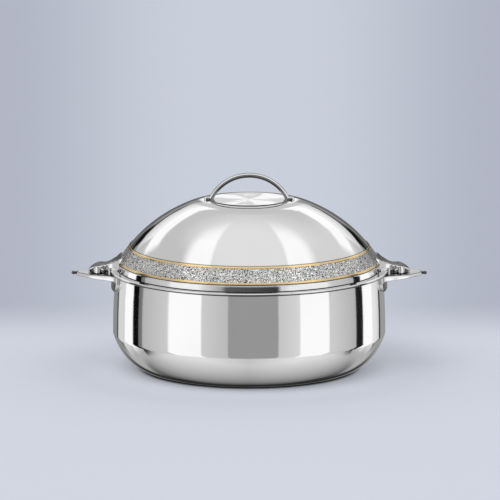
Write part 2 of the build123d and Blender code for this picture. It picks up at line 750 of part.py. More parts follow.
pieces = {
    "outer_body": outer_body,
    "inner_bowl": inner_bowl,
    "pot_insulation": pot_insulation,
    "foam_filling_plug": foam_filling_plug,
    "pot_handle_right": pot_handle,
    "pot_handle_left": mirrored(pot_handle),
    "pot_handle_backing_plate_right": pot_handle_backing_plate,
    "pot_handle_backing_plate_left": mirrored(pot_handle_backing_plate),
    "pot_handle_screws_right": pot_handle_screws,
    "pot_handle_screws_left": mirrored(pot_handle_screws),
    "lid_dome": lid_dome,
    "lid_inner_cover": lid_inner_cover,
    "lid_insulation": lid_insulation,
    "decor_band": decor_band,
    "lid_handle": lid_handle,
    "lid_handle_rivets": lid_handle_rivets,
    "lid_handle_washers": lid_handle_washers,
    "lid_ear_right": lid_ear,
    "lid_ear_left": mirrored(lid_ear),
    "lid_ear_backing_plate_right": lid_ear_backing_plate,
    "lid_ear_backing_plate_left": mirrored(lid_ear_backing_plate),
    "lid_ear_screws_right": lid_ear_screws,
    "lid_ear_screws_left": mirrored(lid_ear_screws),
}

for label, piece in pieces.items():
    piece.part.label = label
    export_step(piece.part, f"parts/{label}.step")
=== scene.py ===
from math import cos, pi, radians, sin, tau

import bmesh
import bpy
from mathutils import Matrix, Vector


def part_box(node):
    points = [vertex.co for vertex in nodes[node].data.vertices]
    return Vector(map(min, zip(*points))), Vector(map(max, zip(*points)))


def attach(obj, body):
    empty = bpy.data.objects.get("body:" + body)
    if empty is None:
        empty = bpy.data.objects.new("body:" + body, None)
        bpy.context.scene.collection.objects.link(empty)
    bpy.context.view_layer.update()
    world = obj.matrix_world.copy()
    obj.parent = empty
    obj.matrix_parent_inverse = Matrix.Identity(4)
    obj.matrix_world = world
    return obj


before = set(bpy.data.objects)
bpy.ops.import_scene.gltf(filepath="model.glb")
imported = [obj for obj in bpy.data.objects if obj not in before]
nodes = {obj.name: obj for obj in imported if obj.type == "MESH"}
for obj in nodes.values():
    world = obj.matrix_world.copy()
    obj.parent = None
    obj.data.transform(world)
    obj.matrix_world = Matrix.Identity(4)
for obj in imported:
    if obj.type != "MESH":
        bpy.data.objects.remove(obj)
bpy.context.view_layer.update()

# Ornamental band
BAND_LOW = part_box("decor_band")[0].z
BAND_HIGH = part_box("decor_band")[1].z
BAND_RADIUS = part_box("decor_band")[1].x

# Lid
SKIRT_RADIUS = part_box("lid_dome")[1].x
SKIRT_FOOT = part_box("lid_dome")[0].z
SEAT_RADIUS = 0.0403           # flat seat under the wire handle
ROD_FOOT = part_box("lid_handle")[0].z + 0.006   # height under which the rod's feet lie

# Pot
BOWL_MOUTH = 0.1262            # radius beyond which the inner bowl is polished
POLISH_WIDTH = 0.002           # over which its polish begins
HANDLE_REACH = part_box("pot_handle_right")[1].x

# Colours, linear
STEEL = (0.80, 0.80, 0.81, 1)
STEEL_DULLER = (0.79, 0.79, 0.795, 1)
STEEL_BRIGHTER = (0.82, 0.82, 0.825, 1)
POLISHED_DULLER = (0.76, 0.76, 0.77, 1)
ROD_BRIGHTER = (0.82, 0.82, 0.83, 1)
CASTING_BRIGHTER = (0.84, 0.84, 0.85, 1)
# Painted sheen of the seat: dark and bright sectors in its colour stand in for the highlights of turned
# steel
SEAT_PAINTED_SHEEN_DARK = (0.34, 0.34, 0.34, 1)
SEAT_PAINTED_SHEEN_BRIGHT = (0.84, 0.84, 0.84, 1)
SATIN_STEEL = (0.62, 0.62, 0.63, 1)
CASTING = (0.72, 0.72, 0.73, 1)
ZINC = (0.55, 0.56, 0.58, 1)
ZINC_DULLER = (0.50, 0.51, 0.53, 1)
ZINC_BRIGHTER = (0.64, 0.65, 0.66, 1)
GOLD = (0.90, 0.62, 0.26, 1)
GOLD_WORN = (0.74, 0.50, 0.20, 1)
GOLD_BRIGHT = (0.97, 0.76, 0.42, 1)
ETCHED_DARK = (0.11, 0.11, 0.112, 1)
ETCHED_LIGHT = (0.93, 0.93, 0.92, 1)
FOAM = (0.80, 0.70, 0.42, 1)
FOAM_PALER = (0.88, 0.80, 0.55, 1)
PLUG = (0.015, 0.015, 0.017, 1)
PLUG_PALER = (0.03, 0.03, 0.032, 1)

# Painted shade and painted reflection at joints, feet and rim, and on the castings and rod, linear
FOOT_PAINTED_SHADE = (0.02, 0.02, 0.021, 1)
JOINT_PAINTED_SHADE = (0.04, 0.04, 0.042, 1)
RIM_PAINTED_SHADE = (0.05, 0.05, 0.052, 1)
SADDLE_PAINTED_SHADE = (0.03, 0.03, 0.032, 1)
TIP_PAINTED_SHADE = (0.12, 0.12, 0.125, 1)
TOP_PAINTED_REFLECTION_DARK = (0.16, 0.16, 0.165, 1)
TOP_PAINTED_REFLECTION_PALER = (0.34, 0.34, 0.345, 1)
ROD_PAINTED_OUTLINE = (0.16, 0.16, 0.165, 1)
ROD_PAINTED_UNDERSHADE = (0.09, 0.09, 0.092, 1)

# Heights or radii over which those shades end
CONTACT_SHADE = (0.0008, 0.0030)                          # painted contact shadow on the wall above the floor
FLARE_SHADE = (SKIRT_FOOT + 0.0001, SKIRT_FOOT + 0.0008)  # painted shade in the joint, on the skirt's flare above its foot
SKIRT_SHADE = (SKIRT_FOOT + 0.0006, SKIRT_FOOT + 0.0016)  # painted shade in the joint, on the skirt above its foot
RIM_SHADE = (0.1015, 0.1029)                              # painted shade on the underside of the pot's rolled rim
BAND_SHADE_BELOW = (BAND_HIGH - 0.0004, BAND_HIGH)        # painted shadow line on the dome, at the band's upper edge
BAND_SHADE_ABOVE = (BAND_HIGH + 0.0005, BAND_HIGH + 0.0010)
BAND_SHADE_LEFT = 0.25                                    # part of the steel's colour left there
SEAT_EDGE = (SEAT_RADIUS - 0.0015, SEAT_RADIUS - 0.0005)  # turned surface of the seat
STEP_RADIUS = SEAT_RADIUS - 0.0004                        # painted shadow line of the step round the seat
STEP_SHADE = (0.0006, 0.0014)                             # to both sides of that line
SADDLE_TOP = (0.0925, 0.0945)                             # painted shade on the saddles of the pot handles
TIP_SHADE = (HANDLE_REACH - 0.0062, HANDLE_REACH - 0.0052)  # painted shade on the tips of their grips, along X
ROD_FOOT_TOP = ROD_FOOT + 0.006

# Parts of the surface's normal over which a painted shade or painted reflection begins or ends
TOP_FACING = (0.62, 0.86)      # its rise, from a casting's bright side to its top, where a dark reflection is painted
OUTER_FACING = (0.45, 0.70)    # its lean along X, over which the painted shade on a casting's saddle begins
ROD_SIDE = (0.42, 0.62)        # its lean along Y, from the rod's painted dark outline to its front and back
ROD_BELOW = (-0.25, 0.15)      # its rise, from the rod's painted shade underneath up

# Turned and brushed lines: fineness across them, and wander along them
SPUN_LINES = (900.0, 0.6)
BRUSHED_LINES = (2200.0, 3.0)
SEAT_SWEEP = (25.0, 1.6)       # painted sheen of the seat and its roughness: change along the radius, and round it

# Noise on each surface: scale, detail, roughness of the detail, distortion
SPUN_CLOUDS = (14.0, 3.0)
CASTING_WAVES = (160.0, 1.0)
CASTING_SCRATCHES = (2600.0, 3.0, 0.6)
CASTING_HOLLOWS = (60.0, 3.0, 0.6)
ROD_MARKS = (1500.0, 2.0)
ROD_CLOUDS = (90.0, 2.0)
ZINC_BLOOM = (500.0, 4.0, 0.6)
GOLD_WEAR = (700.0, 3.0, 0.6)
FOIL_SWIRL = (420.0, 1.0, 0.5, 0.8)
FOIL_SPECKLE = (1300.0, 2.0, 0.6, 0.6)

# Roughness that follows from it: noise from and to, roughness there
SPUN_HAZE = (0.35, 0.75, 0.025, 0.06)
DOME_HAZE = (0.35, 0.75, 0.03, 0.06)
SEAT_HAZE = (0.35, 0.65, 0.06, 0.14)
CASTING_HAZE = (0.4, 0.7, 0.07, 0.16)
ROD_HAZE = (0.35, 0.7, 0.04, 0.09)
ZINC_HAZE = (0.3, 0.7, 0.22, 0.42)
GOLD_HAZE = (0.3, 0.7, 0.08, 0.20)
FOIL_HAZE = (0.0, 1.0, 0.5, 0.14)
BOWL_HAZE = (0.2, 0.16)        # least roughness of the brushed steel, and what its lines add
RIM_ROUGHNESS = 0.05
LINE_HAZE = 0.02               # what lines and marks add on mirror-polished steel
SCRATCH_HAZE = 0.03            # what scratches add on a casting

# Colour that follows from it: noise from and to
CLOUD_TINT = (0.3, 0.7)
# painted sheen of the seat
SEAT_PAINTED_SHEEN_RANGE = (0.40, 0.56)

# Depth of each surface's relief
FINE_DEPTH = 0.000004          # spinning lines and drawing marks
SEAT_RING_DEPTH = 0.000012     # what the seat's turned rings add to that
BRUSHED_DEPTH = 0.000006
CASTING_DEPTH = 0.00008
SCRATCH_SHARE = 0.04           # depth of a casting's scratches beside its waves
PLATING_DEPTH = 0.00001
FOIL_DEPTH = 0.00018

# Filigree of the foil
FILIGREE_TURNS = 14.0          # how tightly the strands follow each other
FILIGREE_SQUEEZE = 1.2         # how much finer the pattern is in height than along the band
SPECKLE_SHARE = 0.5            # of the speckle beside the strands
STRAND_EDGE = (0.62, 1.12)     # sum of both over which the ground passes into a strand
FOIL_MARGIN = (0.0004, 0.0008)  # dark edge of the foil


# ---------------------------------------------------------------- shader building

class Shader:
    """A node tree that is filled by short calls."""

    def __init__(self, tree):
        self.tree = tree
        self.tree.nodes.clear()

    def add(self, kind, inputs=None, **settings):
        node = self.tree.nodes.new(kind)
        for key, value in settings.items():
            setattr(node, key, value)
        for key, value in (inputs or {}).items():
            self.put(node.inputs[key], value)
        return node

    def put(self, socket, value):
        if isinstance(value, bpy.types.NodeSocket):
            self.tree.links.new(value, socket)
        else:
            socket.default_value = value

    def math(self, operation, *numbers):
        return self.add("ShaderNodeMath", dict(enumerate(numbers)), operation=operation).outputs[0]

    def times(self, *numbers):
        """Product of two numbers or more."""
        product = numbers[0]
        for number in numbers[1:]:
            product = self.math("MULTIPLY", product, number)
        return product

    def span(self, value, low, high, to_low=0.0, to_high=1.0, smooth=True):
        """Value moved from one range to another, held at its ends."""
        kind = "SMOOTHSTEP" if smooth else "LINEAR"
        numbers = dict(enumerate((value, low, high, to_low, to_high)))
        return self.add("ShaderNodeMapRange", numbers, interpolation_type=kind).outputs[0]

    def fade(self, value, low, high):
        """One below the range and nil above it."""
        return self.span(value, low, high, 1.0, 0.0)

    def mix(self, factor, a, b):
        """Colour between a and b."""
        return self.add("ShaderNodeMix", {0: factor, 6: a, 7: b}, data_type="RGBA").outputs[2]

    def blend(self, factor, a, b):
        """Number between a and b."""
        return self.add("ShaderNodeMix", {0: factor, 2: a, 3: b}).outputs[0]

    def noise(self, vector, scale, detail=2.0, rough=0.5, distortion=0.0):
        return self.add("ShaderNodeTexNoise", {
            "Vector": vector, "Scale": scale, "Detail": detail,
            "Roughness": rough, "Distortion": distortion,
        }).outputs[0]

    def combine(self, *numbers):
        return self.add("ShaderNodeCombineXYZ", dict(enumerate(numbers))).outputs[0]

    def separate(self, vector):
        return self.add("ShaderNodeSeparateXYZ", {0: vector}).outputs

    def place(self):
        """Place on the object, its parts, its distance from the pot's axis and its angle round it."""
        where = self.add("ShaderNodeTexCoord").outputs["Object"]
        parts = self.separate(where)
        radius = self.math("SQRT", self.math("ADD", self.times(parts[0], parts[0]),
                                             self.times(parts[1], parts[1])))
        angle = self.math("ARCTAN2", parts[1], parts[0])
        return where, parts, radius, angle

    def facing(self):
        """Parts of the surface's normal."""
        return self.separate(self.add("ShaderNodeNewGeometry").outputs["Normal"])

    def round_lines(self, radius, angle, height, fineness, wander, detail=2.0):
        """Noise drawn out into lines round the pot's axis."""
        rings = self.combine(self.times(radius, fineness), self.times(angle, wander),
                             self.times(height, fineness))
        return self.noise(rings, 1.0, detail)


def principled(name, inputs):
    """A new material, its shader, and its Principled node."""
    material = bpy.data.materials.new(name)
    material.use_nodes = True
    shader = Shader(material.node_tree)
    surface = shader.add("ShaderNodeBsdfPrincipled", inputs)
    shader.put(shader.add("ShaderNodeOutputMaterial").inputs[0], surface.outputs[0])
    return material, shader, surface


def metal(name, colour, roughness):
    """A metal. The colour and roughness are its plain values, under what is linked to them."""
    return principled(name, {"Base Color": colour, "Roughness": roughness, "Metallic": 1.0})


def bump(shader, surface, height, distance):
    node = shader.add("ShaderNodeBump", {"Height": height, "Distance": distance, "Strength": 1.0})
    shader.put(surface.inputs["Normal"], node.outputs[0])


# ---------------------------------------------------------------- materials

def spun_surface(shader):
    """Faint spinning lines, a cloudy change over the surface, and the tint that follows it."""
    where, parts, radius, angle = shader.place()
    lines = shader.round_lines(radius, angle, parts[2], *SPUN_LINES)
    clouds = shader.noise(where, *SPUN_CLOUDS)
    tint = shader.mix(shader.span(clouds, *CLOUD_TINT), STEEL_DULLER, STEEL_BRIGHTER)
    return parts[2], radius, angle, lines, clouds, tint


def spun_steel(name, shade):
    """Mirror-polished spun steel. Painted shade at its foot (a contact shadow on the pot, joint shade on
    the lid's flare) ends over a range of height.
    """
    material, shader, surface = metal(name, STEEL, 0.04)
    height, _, _, lines, clouds, tint = spun_surface(shader)
    haze = shader.span(clouds, *SPUN_HAZE)
    shader.put(surface.inputs["Roughness"], shader.math("ADD", haze, shader.times(lines, LINE_HAZE)))
    # painted shade at the foot, over the given range of height
    lit = shader.span(height, *shade)
    shader.put(surface.inputs["Base Color"], shader.mix(lit, FOOT_PAINTED_SHADE, tint))
    bump(shader, surface, lines, FINE_DEPTH)
    return material


def dome_steel(name):
    """The same steel on the lid, with a turned seat under the handle, a painted sheen on that seat, and
    painted shadow lines at the seat's step, the skirt's foot and the band's upper edge.
    """
    material, shader, surface = metal(name, STEEL, 0.04)
    height, radius, angle, lines, clouds, tint = spun_surface(shader)
    on_seat = shader.fade(radius, *SEAT_EDGE)
    along, around = SEAT_SWEEP
    sweep = shader.combine(shader.times(radius, along),
                           shader.times(shader.math("COSINE", angle), around),
                           shader.times(shader.math("SINE", angle), around))
    sheen = shader.noise(sweep, 1.0, 1.0)
    haze = shader.blend(on_seat, shader.span(clouds, *DOME_HAZE), shader.span(sheen, *SEAT_HAZE))
    shader.put(surface.inputs["Roughness"], haze)
    # painted sheen: the seat's colour in dark and bright sectors
    painted_seat_sheen = shader.mix(shader.span(sheen, *SEAT_PAINTED_SHEEN_RANGE), SEAT_PAINTED_SHEEN_DARK, SEAT_PAINTED_SHEEN_BRIGHT)
    tint = shader.mix(on_seat, tint, painted_seat_sheen)
    # painted shadow lines: the step round the seat, the skirt's foot in its joint, the band's upper edge
    off_step = shader.math("ABSOLUTE", shader.math("SUBTRACT", radius, STEP_RADIUS))
    off_band = shader.math("MAXIMUM", shader.span(height, *BAND_SHADE_ABOVE),
                           shader.fade(height, *BAND_SHADE_BELOW))
    off_band = shader.math("MULTIPLY_ADD", off_band, 1 - BAND_SHADE_LEFT, BAND_SHADE_LEFT)
    clear = shader.times(shader.span(off_step, *STEP_SHADE), shader.span(height, *SKIRT_SHADE), off_band)
    shader.put(surface.inputs["Base Color"], shader.mix(clear, JOINT_PAINTED_SHADE, tint))
    depth = shader.math("MULTIPLY_ADD", on_seat, SEAT_RING_DEPTH, FINE_DEPTH)
    bump(shader, surface, shader.times(lines, depth), 1.0)
    return material


def satin_steel(name, polished_beyond):
    """Steel brushed round the axis, and polished on a rim beyond this radius, with painted shade on that
    rim's rolled underside.
    """
    material, shader, surface = metal(name, SATIN_STEEL, 0.3)
    _, parts, radius, angle = shader.place()
    lines = shader.round_lines(radius, angle, parts[2], *BRUSHED_LINES, detail=3.0)
    polish = shader.span(radius, polished_beyond, polished_beyond + POLISH_WIDTH)
    satin = shader.math("ADD", BOWL_HAZE[0], shader.times(lines, BOWL_HAZE[1]))
    shader.put(surface.inputs["Roughness"], shader.blend(polish, satin, RIM_ROUGHNESS))
    # painted shade under the rolled rim
    rim = shader.mix(shader.span(parts[2], *RIM_SHADE), RIM_PAINTED_SHADE, STEEL)
    shader.put(surface.inputs["Base Color"], shader.mix(polish, SATIN_STEEL, rim))
    bump(shader, surface, lines, BRUSHED_DEPTH)
    return material


def polished_casting(name):
    """Hand-polished casting: soft waves left by the wheel, fine scratches and a few duller hollows. A dark
    reflection is painted on its level tops, and painted shade on its saddles and the tips of its grips.
    """
    material, shader, surface = metal(name, CASTING, 0.1)
    where, parts = shader.place()[:2]
    facing = shader.facing()
    waves = shader.noise(where, *CASTING_WAVES)
    scratches = shader.noise(where, *CASTING_SCRATCHES)
    hollows = shader.noise(where, *CASTING_HOLLOWS)
    haze = shader.span(hollows, *CASTING_HAZE)
    shader.put(surface.inputs["Roughness"], shader.math("ADD", haze, shader.times(scratches, SCRATCH_HAZE)))
    polished = shader.mix(hollows, POLISHED_DULLER, CASTING_BRIGHTER)
    # painted dark reflection on the level tops, varied by the waves
    painted_top_reflection = shader.mix(waves, TOP_PAINTED_REFLECTION_DARK, TOP_PAINTED_REFLECTION_PALER)
    tint = shader.mix(shader.span(facing[2], *TOP_FACING), polished, painted_top_reflection)
    # painted shade on the saddles' outer sides
    outer = shader.times(shader.span(shader.math("ABSOLUTE", facing[0]), *OUTER_FACING),
                         shader.fade(parts[2], *SADDLE_TOP))
    tint = shader.mix(outer, tint, SADDLE_PAINTED_SHADE)
    # painted shade on the tips of the grips
    tip = shader.span(shader.math("ABSOLUTE", parts[0]), *TIP_SHADE)
    shader.put(surface.inputs["Base Color"], shader.mix(tip, tint, TIP_PAINTED_SHADE))
    relief = shader.math("ADD", waves, shader.times(scratches, SCRATCH_SHARE))
    bump(shader, surface, relief, CASTING_DEPTH)
    return material


def drawn_rod(name):
    """Polished steel rod with faint drawing marks and a little haze, with a painted dark outline and
    painted shade underneath, kept off its feet.
    """
    material, shader, surface = metal(name, STEEL, 0.06)
    where, parts = shader.place()[:2]
    facing = shader.facing()
    marks = shader.noise(where, *ROD_MARKS)
    clouds = shader.noise(where, *ROD_CLOUDS)
    haze = shader.span(clouds, *ROD_HAZE)
    shader.put(surface.inputs["Roughness"], shader.math("ADD", haze, shader.times(marks, LINE_HAZE)))
    polished = shader.mix(clouds, POLISHED_DULLER, ROD_BRIGHTER)
    foot = shader.fade(parts[2], ROD_FOOT, ROD_FOOT_TOP)
    # painted dark outline and painted shade underneath, kept off the feet
    side = shader.math("MAXIMUM", shader.span(shader.math("ABSOLUTE", facing[1]), *ROD_SIDE), foot)
    above = shader.math("MAXIMUM", shader.span(facing[2], *ROD_BELOW), foot)
    outlined = shader.mix(side, ROD_PAINTED_OUTLINE, polished)
    shader.put(surface.inputs["Base Color"], shader.mix(above, ROD_PAINTED_UNDERSHADE, outlined))
    bump(shader, surface, marks, FINE_DEPTH)
    return material


def zinc_plate(name):
    """Bright zinc plating with a mottled bloom."""
    material, shader, surface = metal(name, ZINC, 0.3)
    bloom = shader.noise(shader.place()[0], *ZINC_BLOOM)
    shader.put(surface.inputs["Roughness"], shader.span(bloom, *ZINC_HAZE))
    shader.put(surface.inputs["Base Color"], shader.mix(bloom, ZINC_DULLER, ZINC_BRIGHTER))
    bump(shader, surface, bloom, PLATING_DEPTH)
    return material


def filigree_foil(name):
    """Etched foil: curled polished strands over a dark matt ground."""
    material, shader, surface = metal(name, ETCHED_LIGHT, 0.2)
    _, parts, _, angle = shader.place()
    flat = shader.combine(shader.times(angle, BAND_RADIUS), shader.times(parts[2], FILIGREE_SQUEEZE))
    swirl = shader.noise(flat, *FOIL_SWIRL)
    strands = shader.math("ABSOLUTE", shader.math("SINE", shader.times(swirl, FILIGREE_TURNS)))
    speckle = shader.noise(flat, *FOIL_SPECKLE)
    bright = shader.span(shader.math("ADD", strands, shader.times(speckle, SPECKLE_SHARE)), *STRAND_EDGE)
    edge = shader.math("MINIMUM", shader.math("SUBTRACT", parts[2], BAND_LOW),
                       shader.math("SUBTRACT", BAND_HIGH, parts[2]))
    bright = shader.times(bright, shader.span(edge, *FOIL_MARGIN))
    shader.put(surface.inputs["Base Color"], shader.mix(bright, ETCHED_DARK, ETCHED_LIGHT))
    shader.put(surface.inputs["Roughness"], shader.span(bright, *FOIL_HAZE))
    bump(shader, surface, bright, FOIL_DEPTH)
    return material


def gilding(name):
    """Gold line: bright plating with fine wear."""
    material, shader, surface = metal(name, GOLD, 0.15)
    wear = shader.noise(shader.place()[0], *GOLD_WEAR)
    shader.put(surface.inputs["Base Color"], shader.mix(wear, GOLD_WORN, GOLD_BRIGHT))
    shader.put(surface.inputs["Roughness"], shader.span(wear, *GOLD_HAZE))
    bump(shader, surface, wear, PLATING_DEPTH)
    return material


def plain(name, colour, other, scale, roughness, depth):
    """Non-metal with a mottled colour and a fine surface."""
    material, shader, surface = principled(name, {"Roughness": roughness})
    mottle = shader.noise(shader.place()[0], scale, 4.0, 0.6)
    shader.put(surface.inputs["Base Color"], shader.mix(mottle, colour, other))
    bump(shader, surface, mottle, depth)
    return material


def both_sides(*parts):
    return [f"{part}_{side}" for part in parts for side in ("left", "right")]


def dress(node_names, material):
    for name in node_names:
        data = nodes[name].data
        data.materials.clear()
        data.materials.append(material)


NOT_POLISHED = 1.0             # a radius beyond the whole lid
dress(["outer_body"], spun_steel("pot_steel_spun", CONTACT_SHADE))
dress(["lid_dome"], dome_steel("lid_steel_spun"))
dress(["inner_bowl"], satin_steel("bowl_steel_satin", BOWL_MOUTH))
dress(["lid_inner_cover"], satin_steel("cover_steel_satin", NOT_POLISHED))
dress(["lid_handle", "lid_handle_rivets"], drawn_rod("rod_steel_drawn"))
dress(["decor_band"], filigree_foil("band_foil_filigree"))
dress(["foam_filling_plug"], plain("plug_plastic_black", PLUG, PLUG_PALER,
                                   scale=900.0, roughness=0.45, depth=0.00002))
dress(["pot_insulation", "lid_insulation"], plain("foam_cells", FOAM, FOAM_PALER,
                                                scale=700.0, roughness=0.85, depth=0.0003))
dress(both_sides("pot_handle", "lid_ear"), polished_casting("cast_metal_polished"))
dress(["lid_handle_washers"] + both_sides("pot_handle_backing_plate", "pot_handle_screws",
                                          "lid_ear_backing_plate", "lid_ear_screws"),
      zinc_plate("fastener_steel_zinc"))


# ---------------------------------------------------------------- gold lines and skirt of the lid

ROUND_STEPS = 384

GOLD_LINES = (                 # height of each line's middle
    ("gold_line_lower", BAND_LOW + 0.0014),
    ("gold_line_upper", BAND_HIGH - 0.00105),
)
GOLD_LINE_WIDTH = 0.0024
GOLD_LINE_RISE = 0.00022       # middle over edges
GOLD_LINE_STEPS = 8
BAND_FACE = 0.00046            # outer face of the band, off the dome
BAND_SLOPE = 0.85              # rise along the dome at the band

# The dome's outline is an ellipse round a point on the axis
DOME_CENTRE = 0.0552
DOME_RISE = 0.1272
DOME_RADIUS = 0.148478

# The dome's skirt flares out a little towards its foot
FLARE_WIDTH = 0.0007           # how far its foot stands out from the skirt
FLARE_LIFT = 0.0002            # its foot above the skirt's
FLARE_TOP = SKIRT_FOOT + 0.0048
FLARE_START = 0.00003          # how far its top stands out
FLARE_ROUNDING = (0.00015, 0.0002)  # width and height of the bevel at its foot
FLARE_ROOT = 0.0003            # how deep its hidden side lies in the skirt
FLARE_CREASE = radians(25)


def band_point(height, lift):
    """Radius and height of a point that stands this far off the dome."""
    slope = (height - DOME_CENTRE) / DOME_RISE
    radius = DOME_RADIUS * (1 - slope**2) ** 0.5
    outward = Vector((radius / DOME_RADIUS**2, (height - DOME_CENTRE) / DOME_RISE**2)).normalized()
    return Vector((radius, height)) + outward * lift


def crowned_section(middle):
    """Section of a gold line, from its lower to its upper edge."""
    section = []
    for step in range(GOLD_LINE_STEPS + 1):
        across = -0.5 + step / GOLD_LINE_STEPS
        crown = GOLD_LINE_RISE * (1 - (2 * across) ** 2) ** 0.5
        section.append(band_point(middle + across * GOLD_LINE_WIDTH * BAND_SLOPE, BAND_FACE + crown))
    return section


def ring(name, section):
    """Ring round the axis, from the points of its section.

    The side that closes the section is flat-shaded and faces the lid."""
    mesh = bpy.data.meshes.new(name)
    build = bmesh.new()
    rows = []
    for turn in range(ROUND_STEPS):
        angle = tau * turn / ROUND_STEPS
        rows.append([build.verts.new((p.x * cos(angle), p.x * sin(angle), p.y)) for p in section])
    for turn, row in enumerate(rows):
        following = rows[(turn + 1) % ROUND_STEPS]
        for step in range(len(section) - 1):
            face = build.faces.new((row[step], following[step], following[step + 1], row[step + 1]))
            face.smooth = True
        closing = build.faces.new((row[-1], following[-1], following[0], row[0]))
        closing.smooth = False
    bmesh.ops.recalc_face_normals(build, faces=build.faces)
    build.to_mesh(mesh)
    build.free()
    piece = bpy.data.objects.new(name, mesh)
    bpy.context.scene.collection.objects.link(piece)
    return piece


gold = gilding("gold_line_gilding")
for line_name, middle in GOLD_LINES:
    line = ring(line_name, crowned_section(middle))
    line.data.materials.append(gold)
    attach(line, "lid")

bevel_width, bevel_height = FLARE_ROUNDING
flare_foot = SKIRT_FOOT + FLARE_LIFT
flare = ring("lid_skirt_flare", [
    Vector((SKIRT_RADIUS - FLARE_ROOT, flare_foot)),
    Vector((SKIRT_RADIUS + FLARE_WIDTH - bevel_width, flare_foot)),
    Vector((SKIRT_RADIUS + FLARE_WIDTH, flare_foot + bevel_height)),
    Vector((SKIRT_RADIUS + FLARE_START, FLARE_TOP)),
    Vector((SKIRT_RADIUS - FLARE_ROOT, FLARE_TOP)),
])
flare.data.materials.append(spun_steel("lid_steel_flare", FLARE_SHADE))
flare.data.set_sharp_from_angle(angle=FLARE_CREASE)
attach(flare, "lid")


# ---------------------------------------------------------------- studio as the steel mirrors it

# Angles are in degrees: azimuth from the camera's side, positive to the right, and elevation. A card has
# its azimuth range, elevation range, brightness at both ends of its azimuth range, and softness of its
# edges in azimuth and elevation. A later card lies over an earlier one.
WALL_CARDS = (
    ((-190, -151.5), (-24, 3), (0.26, 0.30), 1.0, 4.0),        # grey backdrop, left
    ((-151.5, -146.5), (-24, 3), (0.10, 0.10), 1.0, 4.0),      # dark gap
    ((-146.5, -131), (-28, 3), (0.78, 0.78), 1.0, 4.0),        # dim end of the white card
    ((-131, -116.2), (-30, 14), (1.18, 1.18), 1.0, 4.0),       # white card, left back
    ((-116.2, -107.2), (-36, 26), (0.004, 0.004), 1.0, 3.0),   # black flag, left
    ((-107.2, -102.3), (-36, 26), (0.17, 0.24), 1.0, 3.0),     # its grey edge
    ((-102.3, -72.5), (-36, 22), (0.55, 0.72), 0.8, 3.0),      # grey side wall, left
    ((-72.5, -40.5), (-38, 3), (1.18, 1.18), 1.2, 1.5),        # key softbox, left front
    ((-40.5, -17.7), (-38, 3), (0.75, 0.61), 0.6, 1.5),        # grey flat beside it
    ((-17.7, 24.6), (-38, 3), (0.37, 0.37), 0.6, 1.5),         # darker flat under the camera
    ((24.6, 43.5), (-38, 3), (0.68, 0.82), 0.6, 1.5),          # grey flat, right
    ((43.5, 72.0), (-38, 3), (1.18, 1.18), 0.8, 1.5),          # fill softbox, right front
    ((72.0, 102.6), (-36, 22), (0.76, 0.52), 2.0, 3.0),        # grey side wall, right
    ((102.6, 112.6), (-36, 26), (0.015, 0.015), 0.8, 3.0),     # black flag, right
    ((112.6, 129), (-30, 14), (1.18, 1.18), 1.0, 4.0),         # white card, right back
    ((129, 143), (-28, 3), (0.98, 0.74), 1.5, 4.0),            # its dim end
    ((143, 147.5), (-24, 3), (0.03, 0.03), 1.0, 4.0),          # black gap
    ((147.5, 190), (-24, 3), (0.37, 0.33), 1.5, 4.0),          # grey backdrop, right
    ((-74, -24), (3, 22), (1.10, 1.05), 3.0, 1.5),             # upper part of the key softbox
    ((-44, -20), (3, 22), (0.95, 0.30), 3.0, 1.5),             # its fading end
    ((-22, 26.5), (3, 36), (0.12, 0.04), 2.5, 2.0),            # dark room over the camera
    ((33, 74), (3, 22), (1.00, 1.10), 3.0, 1.5),               # upper part of the fill softbox
)
BACK_CARDS = (                                                 # the same on both sides
    ((130, 150), (3, 21), (0.60, 0.60), 2.0, 3.0),             # backdrop beside the rim light
    ((133, 160), (24, 33.5), (1.18, 1.18), 5.0, 1.5),          # outer end of the long rim light
    ((148, 190), (3, 14.5), (0.33, 0.33), 2.0, 2.0),           # backdrop under it
    ((148, 172.5), (14.5, 24), (0.78, 0.78), 1.0, 1.2),        # lower part of the rim light
    ((148, 172.5), (19, 27), (1.00, 1.00), 1.0, 2.5),          # its brighter middle
    ((148, 172.5), (24, 33.5), (1.18, 1.18), 1.0, 1.5),        # its core
    ((172.5, 190), (14.5, 36), (0.66, 0.66), 1.0, 1.5),        # wall straight behind
    ((150, 165), (1, 9), (0.09, 0.09), 1.5, 2.0),              # dark edge of the backdrop
    ((153, 163.5), (7.5, 13.5), (0.006, 0.006), 1.5, 1.0),     # black flag over that edge
    ((162, 170), (11.5, 13.6), (0.03, 0.03), 1.5, 1.0),        # its narrow end
    ((166, 190), (-5, 6), (0.14, 0.14), 2.0, 3.0),             # dark foot of the backdrop
    ((158, 190), (-50, -22), (0.03, 0.03), 6.0, 4.0),          # dark floor behind the pot
    ((176.5, 190), (6, 14.5), (1.12, 1.12), 0.8, 1.5),         # gap of light that the seat mirrors
)

# Ceiling, measured on a level sheet one unit up: across to the side, ahead towards the camera
CEILING_BACK = (-1.1, 0.66)    # ahead, brightness
CEILING_FRONT = (-0.2, 0.90)
CEILING_WINGS = (0.35, 0.85)   # across, where the middle gives way to the two sides
CEILING_CHANGE = (-0.2, 0.2)   # across, where the left side's brightness gives way to the right's
CEILING_SIDES = (0.655, 0.80)  # brightness left and right, outside the softboxes
CEILING_EDGE = (-2.0, 3.0)     # elevation over which the ceiling begins, behind the cards
BOX_COLOUR = (1.18, 1.18, 1.18, 1)
BOX_INNER = (0.43, 0.36)       # slant of the inner edge, and its place across where ahead is nil
BOX_INNER_SOFT = (-0.02, 0.03)
BOX_OUTER = (0.87, 0.85)
BOX_OUTER_SOFT = (-0.12, 0.16)
BOX_BACK = (-0.62, -0.20)      # ahead, where it fades in
BOX_FRONT = (0.6, 1.1)         # ahead, where it fades out

